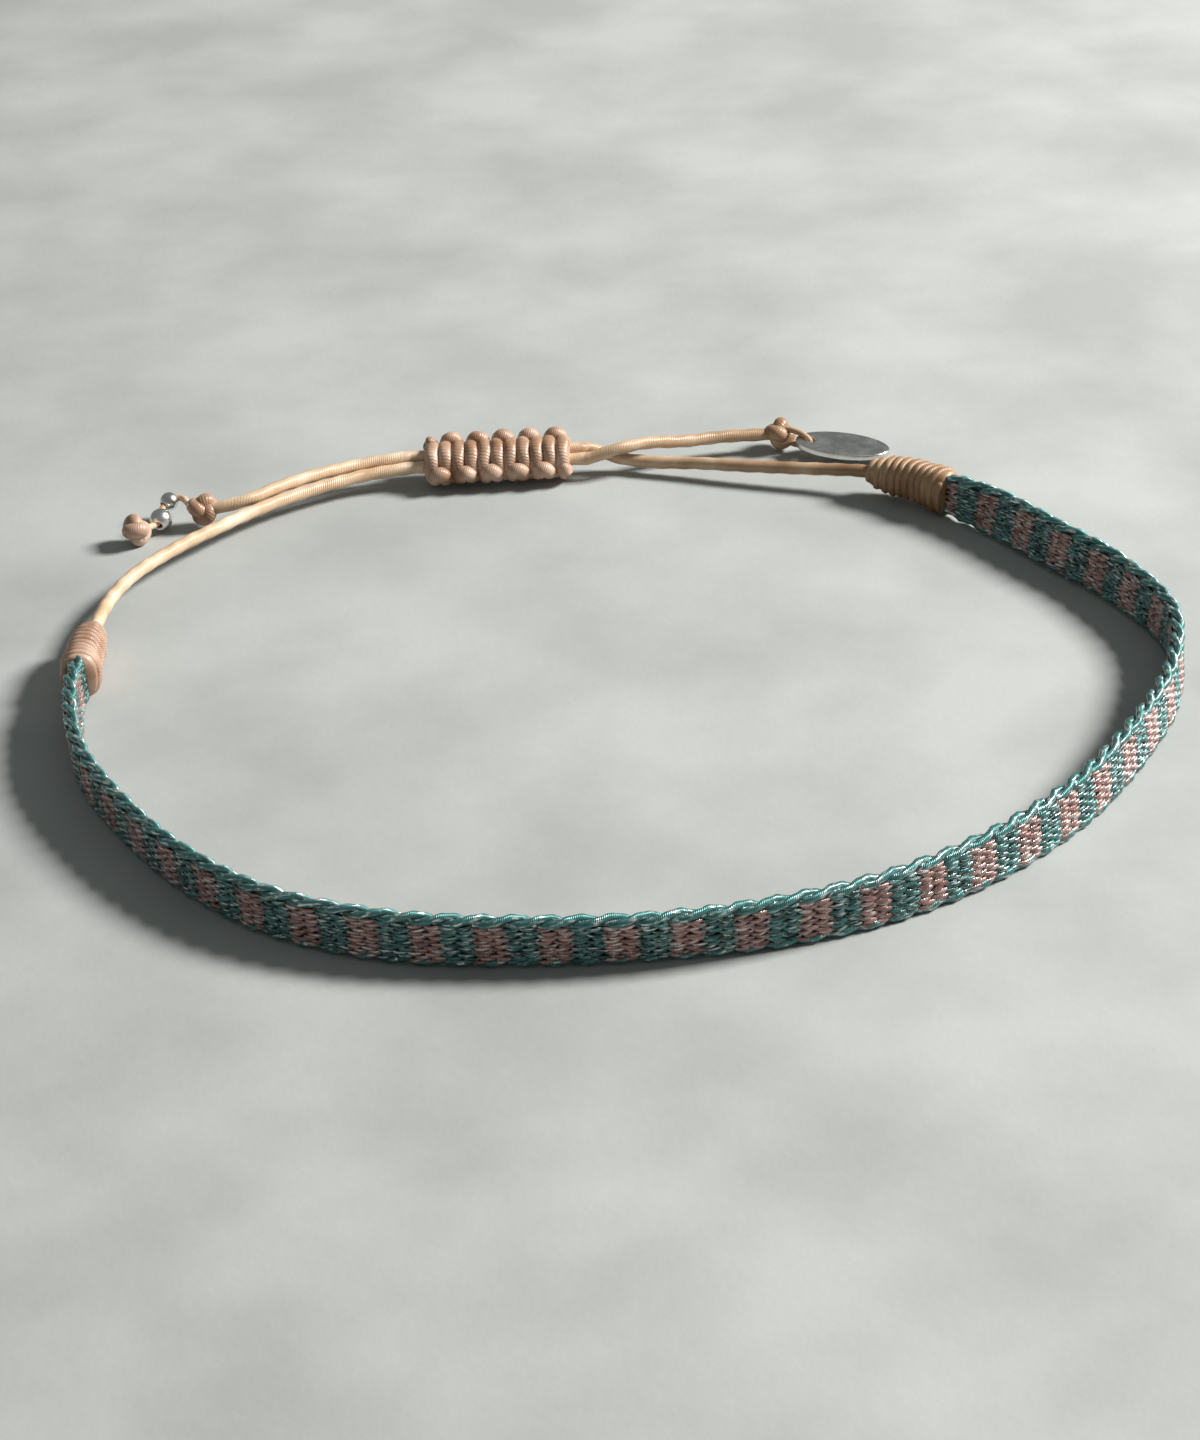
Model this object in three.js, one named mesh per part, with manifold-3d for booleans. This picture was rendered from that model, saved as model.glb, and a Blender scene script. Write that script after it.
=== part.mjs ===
// Woven bracelet lying open on a table.
// A narrow band of metallic thread stands on its edge in a loop. Each end is bound into a waxed
// thread wrap, and two waxed cords close the back of the loop through a knotted slider.
// Millimetres, +Z up, the front of the loop towards -Y, the table at z = 0.

import * as THREE from 'three';
import Module from 'manifold-3d';
import { mergeVertices } from 'three/addons/utils/BufferGeometryUtils.js';

// Sizes that drive the bracelet
const LOOP_WIDTH = 74.4;
const LOOP_DEPTH = 66.0;
const BAND_HEIGHT = 3.7;
const BAND_THICKNESS = 0.9;
const BAND_EDGE = 0.25;
const CORD_DIAMETER = 0.95;
const TAIL_DIAMETER = 0.5;
const WRAP_HEIGHT = 3.6;
const WRAP_THICKNESS = 2.9;
const SLIDER_LENGTH = 12.1;
const SLIDER_WIDTH = 4.6;
const SLIDER_THICKNESS = 2.9;
const SLIDER_ROLL = 26;
const KNOT_DIAMETER = 2.3;
const TAG_LENGTH = 7.2;
const TAG_WIDTH = 3.8;
const TAG_THICKNESS = 0.6;
const CLEARANCE = 0.15;

// Moves every piece so that the band, wraps and slider are centred on the origin
const CENTRING = [0.16, 0.13, 0];

const BAND_STATIONS = 96;
const CORD_SIDES = 8;

// Middle line of the band from the left wrap round the front to the right wrap:
// x as a share of LOOP_WIDTH, y as a share of LOOP_DEPTH, outward lean in degrees,
// height as a share of BAND_HEIGHT.
const BAND_PATH = [
  [-0.4940, 0.0470, 3, 0.78],
  [-0.4960, -0.0360, 3, 1],
  [-0.4790, -0.1485, 3, 1],
  [-0.4340, -0.2545, 4, 1],
  [-0.3740, -0.3545, 4, 1],
  [-0.2970, -0.4364, 3, 1],
  [-0.2016, -0.4864, 2, 1],
  [-0.0995, -0.5061, 6, 1],
  [0.0067, -0.5106, 10, 1],
  [0.1102, -0.4985, 4, 1],
  [0.2097, -0.4636, -1, 1],
  [0.2997, -0.4030, -5, 1],
  [0.3790, -0.3182, -8, 1],
  [0.4409, -0.2167, -7, 1],
  [0.4866, -0.1106, -5, 1],
  [0.5027, 0.0030, 3, 1],
  [0.4691, 0.1121, 12, 1],
  [0.4220, 0.1955, 14, 1],
  [0.3737, 0.2780, 12, 1],
  [0.3180, 0.3500, 4, 0.78],
];

// A wrap from its band end to its cord end: share of its length, height as a share of
// WRAP_HEIGHT, thickness as a share of WRAP_THICKNESS.
const WRAP_SECTIONS = [
  [0, 0.97, 0.84],
  [0.05, 1, 0.96],
  [0.16, 1, 1],
  [0.26, 0.92, 0.88],
  [0.5, 0.9, 0.9],
  [0.72, 0.84, 0.86],
  [0.9, 0.66, 0.72],
  [1, 0.46, 0.52],
];
const LEFT_WRAP = [[-36.85, 1.5], [-36.78, 4.7], [-36.5, 7.9]];
const RIGHT_WRAP = [[24.9, 22.0], [22.4, 24.5], [19.3, 26.15]];
const MID_HEIGHT = BAND_HEIGHT / 2;

// Middle of the slider and the two cord lines through it, side by side across its width.
const SLIDER_CENTRE = [-8.25, 31.95, 1.8];
const CORD_PITCH = CORD_DIAMETER + 0.05;
const ROLL = THREE.MathUtils.degToRad(SLIDER_ROLL);
const CORD_STEP_Y = Math.cos(ROLL) * CORD_PITCH / 2;
const CORD_STEP_Z = Math.sin(ROLL) * CORD_PITCH / 2;
const SLIDER_LEFT = SLIDER_CENTRE[0] - SLIDER_LENGTH / 2;
const SLIDER_RIGHT = SLIDER_CENTRE[0] + SLIDER_LENGTH / 2;
const FRONT_LINE = [SLIDER_CENTRE[1] - CORD_STEP_Y, SLIDER_CENTRE[2] - CORD_STEP_Z];
const BACK_LINE = [SLIDER_CENTRE[1] + CORD_STEP_Y, SLIDER_CENTRE[2] + CORD_STEP_Z];

// Cord from the left wrap through the slider to the silver tag.
const LEFT_CORD = [
  [-36.62, 6.6, 1.85],
  [-36.45, 8.6, 1.9],
  [-35.8, 12.4, 1.9],
  [-34.6, 15.6, 1.9],
  [-33.1, 18.2, 1.8],
  [-31.0, 21.0, 1.7],
  [-29.0, 23.2, 1.6],
  [-26.8, 25.5, 1.5],
  [-24.3, 27.6, 1.45],
  [-21.4, 29.4, 1.45],
  [-18.3, 30.8, 1.5],
  [SLIDER_LEFT - 1, FRONT_LINE[0] - 0.1, FRONT_LINE[1]],
  [SLIDER_LEFT, ...FRONT_LINE],
  [SLIDER_LEFT + SLIDER_LENGTH / 3, ...FRONT_LINE],
  [SLIDER_RIGHT - SLIDER_LENGTH / 3, ...FRONT_LINE],
  [SLIDER_RIGHT, ...FRONT_LINE],
  [SLIDER_RIGHT + 1, FRONT_LINE[0] - 0.1, FRONT_LINE[1] + 0.1],
  [0.9, 31.4, 2.3],
  [3.2, 32.25, 2.25],
  [6.0, 33.2, 1.75],
  [8.9, 34.0, 1.55],
  [12.0, 34.33, 1.4],
];

// Cord from the right wrap through the slider to the stop knot above the beads.
const RIGHT_CORD = [
  [20.6, 25.3, 1.85],
  [18.9, 26.3, 1.85],
  [16.9, 27.1, 1.7],
  [14.0, 28.0, 1.55],
  [10.0, 29.3, 1.35],
  [6.9, 30.4, 1.2],
  [3.6, 31.4, 1.0],
  [1.1, 32.2, 1.1],
  [SLIDER_RIGHT + 1, BACK_LINE[0] + 0.1, BACK_LINE[1] - 0.15],
  [SLIDER_RIGHT, ...BACK_LINE],
  [SLIDER_RIGHT - SLIDER_LENGTH / 3, ...BACK_LINE],
  [SLIDER_LEFT + SLIDER_LENGTH / 3, ...BACK_LINE],
  [SLIDER_LEFT, ...BACK_LINE],
  [SLIDER_LEFT - 1, BACK_LINE[0] - 0.05, BACK_LINE[1] + 0.05],
  [-18.6, 31.65, 2.0],
  [-21.6, 30.3, 2.1],
  [-24.4, 28.5, 2.15],
  [-26.6, 27.0, 2.0],
  [-28.9, 26.55, 1.65],
];
const STOP_KNOT = [-30.25, 26.7, 1.5];
const END_KNOT = [-35.05, 24.45, 1.18];
const TAG_KNOT = [13.3, 34.5, 1.35];
const TAG_CENTRE = [17.9, 32.4, 1.0];
const TAG_TURN = -14;

// Thin tail of the right cord from the stop knot through both beads to the end knot.
const TAIL_THREAD = [
  [-31.3, 27.4, 1.6],
  [-31.8, 28.2, 1.68],
  [-32.5, 28.5, 1.6],
  [-33.2, 27.8, 1.38],
  [-33.45, 27.1, 1.15],
  [-33.4, 26.3, 0.98],
  [-33.75, 25.7, 0.95],
  [-34.2, 25.25, 0.95],
];
const BEADS = [
  { name: 'bead_1', at: 0.357, diameter: 1.4 },
  { name: 'bead_2', at: 0.714, diameter: 1.7 },
];

const wasm = await Module();
wasm.setup();

// Smooth line through a list of points
function line(points) {
  const list = points.map((p) => new THREE.Vector3(...p));
  return new THREE.CatmullRomCurve3(list, false, 'catmullrom', 0.5);
}

// Closed solid through a row of rings that all have the same number of points.
// Each ring turns anticlockwise seen from the first ring towards the last.
function loft(rings) {
  const sides = rings[0].length;
  const positions = rings.flat().flatMap((p) => [p.x, p.y, p.z]);
  const index = [];
  for (let r = 0; r < rings.length - 1; r += 1) {
    for (let k = 0; k < sides; k += 1) {
      const a = r * sides + k;
      const b = r * sides + (k + 1) % sides;
      index.push(a, a + sides, b, b, a + sides, b + sides);
    }
  }
  const last = (rings.length - 1) * sides;
  for (let k = 1; k < sides - 1; k += 1) {
    index.push(0, k, k + 1);
    index.push(last, last + k + 1, last + k);
  }
  const geometry = new THREE.BufferGeometry();
  geometry.setAttribute('position', new THREE.Float32BufferAttribute(positions, 3));
  geometry.setIndex(index);
  if (volume(geometry) < 0) {
    geometry.setIndex(index.slice().reverse());
  }
  return geometry;
}

// Signed volume of an indexed closed mesh
function volume(geometry) {
  const p = geometry.getAttribute('position');
  const index = geometry.getIndex().array;
  const a = new THREE.Vector3();
  const b = new THREE.Vector3();
  const c = new THREE.Vector3();
  let sum = 0;
  for (let i = 0; i < index.length; i += 3) {
    a.fromBufferAttribute(p, index[i]);
    b.fromBufferAttribute(p, index[i + 1]);
    c.fromBufferAttribute(p, index[i + 2]);
    sum += a.dot(b.cross(c)) / 6;
  }
  return sum;
}

// One solid minus others
function cut(body, ...tools) {
  const solid = (geometry) => {
    const plain = new THREE.BufferGeometry();
    plain.setAttribute('position', geometry.getAttribute('position').clone());
    if (geometry.getIndex()) {
      plain.setIndex(geometry.getIndex().clone());
    }
    const merged = mergeVertices(plain, 1e-4);
    return new wasm.Manifold(new wasm.Mesh({
      numProp: 3,
      vertProperties: new Float32Array(merged.getAttribute('position').array),
      triVerts: new Uint32Array(merged.getIndex().array),
    }));
  };
  let result = solid(body);
  for (const tool of tools) {
    result = result.subtract(solid(tool));
  }
  const mesh = result.getMesh();
  const geometry = new THREE.BufferGeometry();
  geometry.setAttribute('position', new THREE.Float32BufferAttribute(mesh.vertProperties, 3));
  geometry.setIndex(new THREE.Uint32BufferAttribute(mesh.triVerts, 1));
  return geometry;
}

// Band between two shares of its path, grown outwards by a clearance.
// The section is a strip with its four edges cut off; its foot lies flat on the table.
function band(from, to, stations, grow) {
  const plan = line(BAND_PATH.map((p) => [p[0] * LOOP_WIDTH, p[1] * LOOP_DEPTH, 0]));
  const poise = line(BAND_PATH.map((p) => [p[2], p[3], 0]));
  const thick = BAND_THICKNESS / 2 + grow;
  const rings = [];
  for (let i = 0; i <= stations; i += 1) {
    const t = from + (to - from) * i / stations;
    const centre = plan.getPoint(t);
    const along = plan.getTangent(t);
    const [lean, share] = poise.getPoint(t).toArray();
    const angle = THREE.MathUtils.degToRad(lean);
    const outward = new THREE.Vector3(along.y, -along.x, 0).normalize();
    const up = new THREE.Vector3(0, 0, Math.cos(angle)).addScaledVector(outward, Math.sin(angle));
    const side = new THREE.Vector3(0, 0, -Math.sin(angle)).addScaledVector(outward, Math.cos(angle));
    const half = Math.min(share, 1) * BAND_HEIGHT / 2 + grow;
    const outline = [
      [-thick, BAND_EDGE - half],
      [BAND_EDGE - thick, -half],
      [thick - BAND_EDGE, -half],
      [thick, BAND_EDGE - half],
      [thick, half - BAND_EDGE],
      [thick - BAND_EDGE, half],
      [BAND_EDGE - thick, half],
      [-thick, half - BAND_EDGE],
    ];
    rings.push(outline.map(([a, b]) => {
      const p = new THREE.Vector3(centre.x, centre.y, MID_HEIGHT);
      p.addScaledVector(side, a).addScaledVector(up, b);
      if (b === -half) {
        p.z = MID_HEIGHT - half;
      }
      return p;
    }));
  }
  return loft(rings);
}

// Round tube of one diameter along a list of points
function tube(points, diameter, stations) {
  const path = line(points);
  const rings = [];
  for (let i = 0; i <= stations; i += 1) {
    const centre = path.getPoint(i / stations);
    const along = path.getTangent(i / stations);
    const side = new THREE.Vector3(along.y, -along.x, 0).normalize();
    const up = new THREE.Vector3().crossVectors(side, along).normalize();
    const ring = [];
    for (let k = 0; k < CORD_SIDES; k += 1) {
      const angle = 2 * Math.PI * k / CORD_SIDES;
      const p = centre.clone();
      p.addScaledVector(side, Math.cos(angle) * diameter / 2);
      p.addScaledVector(up, Math.sin(angle) * diameter / 2);
      ring.push(p);
    }
    rings.push(ring);
  }
  return loft(rings);
}

// Thread wrap: rounded oblong sections along its middle line from its band end to its cord end
function wrap(points) {
  const path = line(points.map(([x, y]) => [x, y, MID_HEIGHT]));
  const rings = WRAP_SECTIONS.map(([share, high, wide]) => {
    const centre = path.getPoint(share);
    const along = path.getTangent(share);
    const side = new THREE.Vector3(along.y, -along.x, 0);
    return oblong(wide * WRAP_THICKNESS / 2, high * WRAP_HEIGHT / 2, 16, 0.8).map(([a, b]) => {
      const p = centre.clone().addScaledVector(side, a);
      p.z += b;
      return p;
    });
  });
  return loft(rings);
}

// Points of an oblong round section with the two half sizes
function oblong(halfWide, halfHigh, sides, power) {
  const points = [];
  for (let k = 0; k < sides; k += 1) {
    const angle = 2 * Math.PI * (k + 0.5) / sides;
    const c = Math.cos(angle);
    const s = Math.sin(angle);
    const a = halfWide * Math.sign(c) * Math.abs(c) ** power;
    const b = halfHigh * Math.sign(s) * Math.abs(s) ** power;
    points.push([a, b]);
  }
  return points;
}

// Slider: a row of square knots whose side bumps swap sides from one half knot to the next
function slider() {
  const halves = 11;
  const stations = 2 * halves + 2;
  const rings = [];
  for (let i = 0; i <= stations; i += 1) {
    const share = i / stations;
    const x = SLIDER_LEFT + share * SLIDER_LENGTH;
    const swell = Math.cos(Math.PI * (i - 1) / 2);
    const end = i === 0 || i === stations ? 0.8 : 1;
    rings.push(oblong(1, 1, 16, 0.75).map(([a, b]) => {
      const bump = 0.94 + 0.06 * swell * Math.sign(a) * -1;
      const across = a * end * bump * SLIDER_WIDTH / 2;
      const over = b * end * SLIDER_THICKNESS / 2;
      const y = SLIDER_CENTRE[1] + across * Math.cos(ROLL) - over * Math.sin(ROLL);
      const z = SLIDER_CENTRE[2] + across * Math.sin(ROLL) + over * Math.cos(ROLL);
      return new THREE.Vector3(x, y, z);
    }));
  }
  const bore = CORD_DIAMETER + 2 * CLEARANCE;
  const front = tube([
    [SLIDER_LEFT - 1, ...FRONT_LINE],
    [SLIDER_RIGHT + 1, ...FRONT_LINE],
  ], bore, 2);
  const back = tube([
    [SLIDER_LEFT - 1, ...BACK_LINE],
    [SLIDER_RIGHT + 1, ...BACK_LINE],
  ], bore, 2);
  return cut(loft(rings), front, back);
}

// Small round knot
function knot(centre) {
  const geometry = new THREE.SphereGeometry(KNOT_DIAMETER / 2, 12, 8);
  geometry.deleteAttribute('normal');
  geometry.deleteAttribute('uv');
  const round = mergeVertices(geometry, 1e-4);
  round.translate(...centre);
  return round;
}

// Round bead with a bore, threaded on the tail at a share of its length
function bead(share, diameter) {
  const path = line(TAIL_THREAD);
  const bore = TAIL_DIAMETER / 2 + CLEARANCE;
  const radius = diameter / 2;
  const reach = Math.acos(bore / radius);
  const profile = [];
  for (let k = 0; k <= 8; k += 1) {
    const angle = -reach + 2 * reach * k / 8;
    profile.push(new THREE.Vector2(radius * Math.cos(angle), radius * Math.sin(angle)));
  }
  profile.push(profile[0].clone());
  const geometry = new THREE.LatheGeometry(profile, 16);
  const turn = new THREE.Quaternion();
  turn.setFromUnitVectors(new THREE.Vector3(0, 1, 0), path.getTangent(share));
  geometry.applyQuaternion(turn);
  geometry.translate(...path.getPoint(share).toArray());
  return geometry;
}

// Silver tag: a flat oval plate with a hole near the end that faces its knot
function tag() {
  const shape = new THREE.Shape();
  shape.absellipse(0, 0, TAG_LENGTH / 2, TAG_WIDTH / 2, 0, 2 * Math.PI);
  const hole = new THREE.Path();
  hole.absarc(-TAG_LENGTH / 2 + 1.1, 0, 0.45, 0, 2 * Math.PI, true);
  shape.holes.push(hole);
  const geometry = new THREE.ExtrudeGeometry(shape, {
    depth: TAG_THICKNESS,
    bevelEnabled: false,
    curveSegments: 16,
  });
  geometry.translate(0, 0, -TAG_THICKNESS / 2);
  geometry.rotateY(THREE.MathUtils.degToRad(4));
  geometry.rotateZ(THREE.MathUtils.degToRad(TAG_TURN));
  geometry.translate(...TAG_CENTRE);
  return geometry;
}

const materials = {
  woven: new THREE.MeshStandardMaterial({ color: 0x3f6f69, roughness: 0.5 }),
  waxed: new THREE.MeshStandardMaterial({ color: 0xc59a6b, roughness: 0.6 }),
  silver: new THREE.MeshStandardMaterial({ color: 0xc9c9c6, roughness: 0.25, metalness: 1 }),
};

const bracelet = new THREE.Group();

function add(name, geometry, material) {
  geometry.translate(...CENTRING);
  const mesh = new THREE.Mesh(geometry, materials[material].clone());
  mesh.name = name;
  bracelet.add(mesh);
}

const cordBore = CORD_DIAMETER + 2 * CLEARANCE;
add('woven_band', band(0, 1, BAND_STATIONS, 0), 'woven');
add('left_wrap', cut(
  wrap(LEFT_WRAP),
  band(0, 0.06, 8, CLEARANCE),
  tube(LEFT_CORD.slice(0, 3), cordBore, 8),
), 'waxed');
add('right_wrap', cut(
  wrap(RIGHT_WRAP),
  band(0.94, 1, 8, CLEARANCE),
  tube(RIGHT_CORD.slice(0, 3), cordBore, 8),
), 'waxed');
add('sliding_knot', slider(), 'waxed');
add('left_cord', tube(LEFT_CORD, CORD_DIAMETER, 84), 'waxed');
add('right_cord', tube(RIGHT_CORD, CORD_DIAMETER, 72), 'waxed');
add('tail_thread', tube(TAIL_THREAD, TAIL_DIAMETER, 12), 'waxed');
add('tag_knot', knot(TAG_KNOT), 'waxed');
add('silver_tag', tag(), 'silver');
add('stop_knot', knot(STOP_KNOT), 'waxed');
add('end_knot', knot(END_KNOT), 'waxed');
for (const { name, at, diameter } of BEADS) {
  add(name, bead(at, diameter), 'silver');
}

export default bracelet;
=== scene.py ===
# Woven bracelet lying open on a pale table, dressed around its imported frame.
# The band's metallic stitches and twisted edging, the wound ends, the knotted slider, the waxed
# cords and the silver are surfaces worked out from a few sizes, in metres.

import math

import bpy
import numpy as np
from mathutils import Matrix, Vector


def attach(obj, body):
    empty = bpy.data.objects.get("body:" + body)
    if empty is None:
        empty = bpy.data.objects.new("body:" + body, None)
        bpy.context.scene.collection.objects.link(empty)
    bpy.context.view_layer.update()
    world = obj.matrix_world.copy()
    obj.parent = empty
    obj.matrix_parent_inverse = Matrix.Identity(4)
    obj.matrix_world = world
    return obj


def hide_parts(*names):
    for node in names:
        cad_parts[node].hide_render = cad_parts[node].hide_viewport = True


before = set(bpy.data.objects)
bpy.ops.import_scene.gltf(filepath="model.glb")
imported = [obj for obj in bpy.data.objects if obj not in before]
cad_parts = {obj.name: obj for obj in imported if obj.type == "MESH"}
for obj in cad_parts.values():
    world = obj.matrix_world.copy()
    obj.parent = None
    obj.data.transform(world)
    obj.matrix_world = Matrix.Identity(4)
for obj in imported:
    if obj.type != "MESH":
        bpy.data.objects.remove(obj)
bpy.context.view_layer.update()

MM = 0.001
CENTRING = np.array([0.16, 0.13, 0.0])
rng = np.random.default_rng(7)

# Band
LOOP_WIDTH = 74.4
LOOP_DEPTH = 66.0
BAND_HEIGHT = 3.7
MID_HEIGHT = BAND_HEIGHT / 2
STRIPE_PAIR = 3.9
STITCH_LENGTH = STRIPE_PAIR / 4
STITCH_ROWS = 11
ROW_PITCH = 0.25
ROWS_DROP = 0.1
FRONT_ROSE_X = -4.74

# One float of the weave: half length as a share of the stitch, half width, the height of its
# lowest point over the middle line, the rise of its crown and its half thickness
FLOAT_REACH = 0.58
FLOAT_WIDE = 0.155
FLOAT_BASE = 0.22
FLOAT_CROWN = 0.17
FLOAT_THICK = 0.11

# Twisted edging: strand radius, sway in and out, then level and sway up and down of each edge
EDGE_STRAND = 0.25
EDGE_SWAY = 0.27
EDGES = {"top": (1.47, 0.2), "bottom": (-1.46, 0.12)}

# Middle line of the band: x and y as shares of the loop, outward lean, share of the height
BAND_PATH = np.array([
    (-0.4940, 0.0470, 3, 0.78),
    (-0.4960, -0.0360, 3, 1),
    (-0.4790, -0.1485, 3, 1),
    (-0.4340, -0.2545, 4, 1),
    (-0.3740, -0.3545, 4, 1),
    (-0.2970, -0.4364, 3, 1),
    (-0.2016, -0.4864, 2, 1),
    (-0.0995, -0.5061, 6, 1),
    (0.0067, -0.5106, 10, 1),
    (0.1102, -0.4985, 4, 1),
    (0.2097, -0.4636, -1, 1),
    (0.2997, -0.4030, -5, 1),
    (0.3790, -0.3182, -8, 1),
    (0.4409, -0.2167, -7, 1),
    (0.4866, -0.1106, -5, 1),
    (0.5027, 0.0030, 3, 1),
    (0.4691, 0.1121, 12, 1),
    (0.4220, 0.1955, 14, 1),
    (0.3737, 0.2780, 12, 1),
    (0.3180, 0.3500, 4, 0.78),
])

# Wound ends: share of the length, share of the height, share of the thickness
WRAP_HEIGHT = 3.6
WRAP_THICKNESS = 2.9
WRAP_THREAD = 0.62
WRAP_TURNS = 11
WRAP_SECTIONS = np.array([
    (0, 0.97, 0.84),
    (0.05, 1, 0.96),
    (0.16, 1, 1),
    (0.26, 0.92, 0.88),
    (0.5, 0.9, 0.9),
    (0.72, 0.84, 0.86),
    (0.9, 0.66, 0.72),
    (1, 0.46, 0.52),
])
LEFT_WRAP = [(-36.85, 1.5), (-36.78, 4.7), (-36.5, 7.9)]
RIGHT_WRAP = [(24.9, 22.0), (22.4, 24.5), (19.3, 26.15)]

# Slider and the cord lines through it
CORD = 0.95
TAIL = 0.5
SLIDER_LENGTH = 12.1
SLIDER_CENTRE = (-8.25, 31.95, 1.8)
SLIDER_ROLL = math.radians(26)
SLIDER_STRAND = 0.6
SLIDER_INSET = 0.05
HALF_KNOTS = 11
CORD_PITCH = CORD + 0.05
STEP_Y = math.cos(SLIDER_ROLL) * CORD_PITCH / 2
STEP_Z = math.sin(SLIDER_ROLL) * CORD_PITCH / 2
SLIDER_LEFT = SLIDER_CENTRE[0] - SLIDER_LENGTH / 2
SLIDER_RIGHT = SLIDER_CENTRE[0] + SLIDER_LENGTH / 2
FRONT_LINE = (SLIDER_CENTRE[1] - STEP_Y, SLIDER_CENTRE[2] - STEP_Z)
BACK_LINE = (SLIDER_CENTRE[1] + STEP_Y, SLIDER_CENTRE[2] + STEP_Z)

# Working strands of the slider: reach to the sides, height there and height at mid crossing
STRAND_OVER = (1.15, -0.3, 0.8)
STRAND_UNDER = (1.65, 0.45, -0.85)
SIDE_RUN = 0.42

# Cord routes, each from its wound end to its knot; the first stretch lies inside the wound end
LEFT_CORD = [
    (-36.62, 6.6, 1.85),
    (-36.45, 8.6, 1.9),
    (-35.8, 12.4, 1.9),
    (-34.6, 15.6, 1.9),
    (-33.1, 18.2, 1.8),
    (-31.0, 21.0, 1.7),
    (-29.0, 23.2, 1.6),
    (-26.8, 25.5, 1.5),
    (-24.3, 27.6, 1.45),
    (-21.4, 29.4, 1.45),
    (-18.3, 30.8, 1.5),
    (SLIDER_LEFT - 1, FRONT_LINE[0] - 0.1, FRONT_LINE[1]),
    (SLIDER_LEFT, *FRONT_LINE),
    (SLIDER_LEFT + SLIDER_LENGTH / 3, *FRONT_LINE),
    (SLIDER_RIGHT - SLIDER_LENGTH / 3, *FRONT_LINE),
    (SLIDER_RIGHT, *FRONT_LINE),
    (SLIDER_RIGHT + 1, FRONT_LINE[0] - 0.1, FRONT_LINE[1] + 0.1),
    (0.9, 31.4, 2.3),
    (3.2, 32.25, 2.25),
    (6.0, 33.2, 1.75),
    (8.9, 34.0, 1.55),
    (12.0, 34.33, 1.4),
]
RIGHT_CORD = [
    (20.6, 25.3, 1.85),
    (18.9, 26.3, 1.85),
    (16.9, 27.1, 1.7),
    (14.0, 28.0, 1.55),
    (10.0, 29.3, 1.35),
    (6.9, 30.4, 1.2),
    (3.6, 31.4, 1.0),
    (1.1, 32.2, 1.1),
    (SLIDER_RIGHT + 1, BACK_LINE[0] + 0.1, BACK_LINE[1] - 0.15),
    (SLIDER_RIGHT, *BACK_LINE),
    (SLIDER_RIGHT - SLIDER_LENGTH / 3, *BACK_LINE),
    (SLIDER_LEFT + SLIDER_LENGTH / 3, *BACK_LINE),
    (SLIDER_LEFT, *BACK_LINE),
    (SLIDER_LEFT - 1, BACK_LINE[0] - 0.05, BACK_LINE[1] + 0.05),
    (-18.6, 31.65, 2.0),
    (-21.6, 30.3, 2.1),
    (-24.4, 28.5, 2.15),
    (-26.6, 27.0, 2.0),
    (-28.9, 26.55, 1.65),
]

# Thin tail through both beads, the knots, and each bead's place along the tail and diameter
TAIL_THREAD = [
    (-31.3, 27.4, 1.6),
    (-31.8, 28.2, 1.68),
    (-32.5, 28.5, 1.6),
    (-33.2, 27.8, 1.38),
    (-33.45, 27.1, 1.15),
    (-33.4, 26.3, 0.98),
    (-33.75, 25.7, 0.95),
    (-34.2, 25.25, 0.95),
]
KNOT = 2.3
KNOT_THREAD = 0.58
KNOT_LEAN = 0.9
STOP_KNOT = (-30.25, 26.7, 1.5)
END_KNOT = (-35.05, 24.45, 1.18)
TAG_KNOT = (13.3, 34.5, 1.35)
BEADS = {"bead_1": (0.357, 1.4), "bead_2": (0.714, 1.7)}
BORE_CLEARANCE = 0.05

# Oval tag: length, width and thickness, its hole, and its turn and tilt on the table
TAG_CENTRE = (17.9, 32.4, 1.0)
TAG_SIZE = (7.2, 3.8, 0.6)
TAG_HOLE = 0.45
TAG_HOLE_INSET = 1.1
TAG_THREAD = 0.22
TAG_LOOP_RISE = 0.55
TAG_TURN = math.radians(-14)
TAG_TILT = math.radians(4)

# Camera fitted to the even stripe spacing
CAMERA_PLACE = (-1.44, -206.4, 118.6)
CAMERA_PITCH = math.radians(30.46)
CAMERA_ROLL = math.radians(-3.12)
FOCAL_PIXELS = 3500
PICTURE_HEIGHT = 1440
SENSOR = 36

# Key light and sky, in metres and watts
TABLE_REACH = 2.0
KEY_PLACE = (0.52, 0.1, 0.4)
KEY_ENERGY = 9.6
KEY_SIZE = 0.17
SKY_STRENGTH = 0.2


def smooth_line(points, count):
    """Uniform Catmull-Rom curve through the points: between two points a cubic whose end
    slopes are half the chord between the neighbours; the ends mirror their last chord."""
    p = np.asarray(points, float)
    place = np.linspace(0, len(p) - 1, count)
    i = np.minimum(place.astype(int), len(p) - 2)
    w = (place - i)[:, None]
    full = np.vstack([2 * p[0] - p[1], p, 2 * p[-1] - p[-2]])
    before, start, end, after = full[i], full[i + 1], full[i + 2], full[i + 3]
    slope_in = (end - before) / 2
    slope_out = (after - start) / 2
    cubic = 2 * start - 2 * end + slope_in + slope_out
    square = -3 * start + 3 * end - 2 * slope_in - slope_out
    return cubic * w**3 + square * w**2 + slope_in * w + start


def unit(v):
    """Vectors divided by their length."""
    return v / np.maximum(np.linalg.norm(v, axis=-1, keepdims=True), 1e-12)


def run_of(path):
    """Distance along a polyline at each of its points."""
    steps = np.linalg.norm(np.diff(path, axis=0), axis=1)
    return np.concatenate([[0], np.cumsum(steps)])


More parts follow.
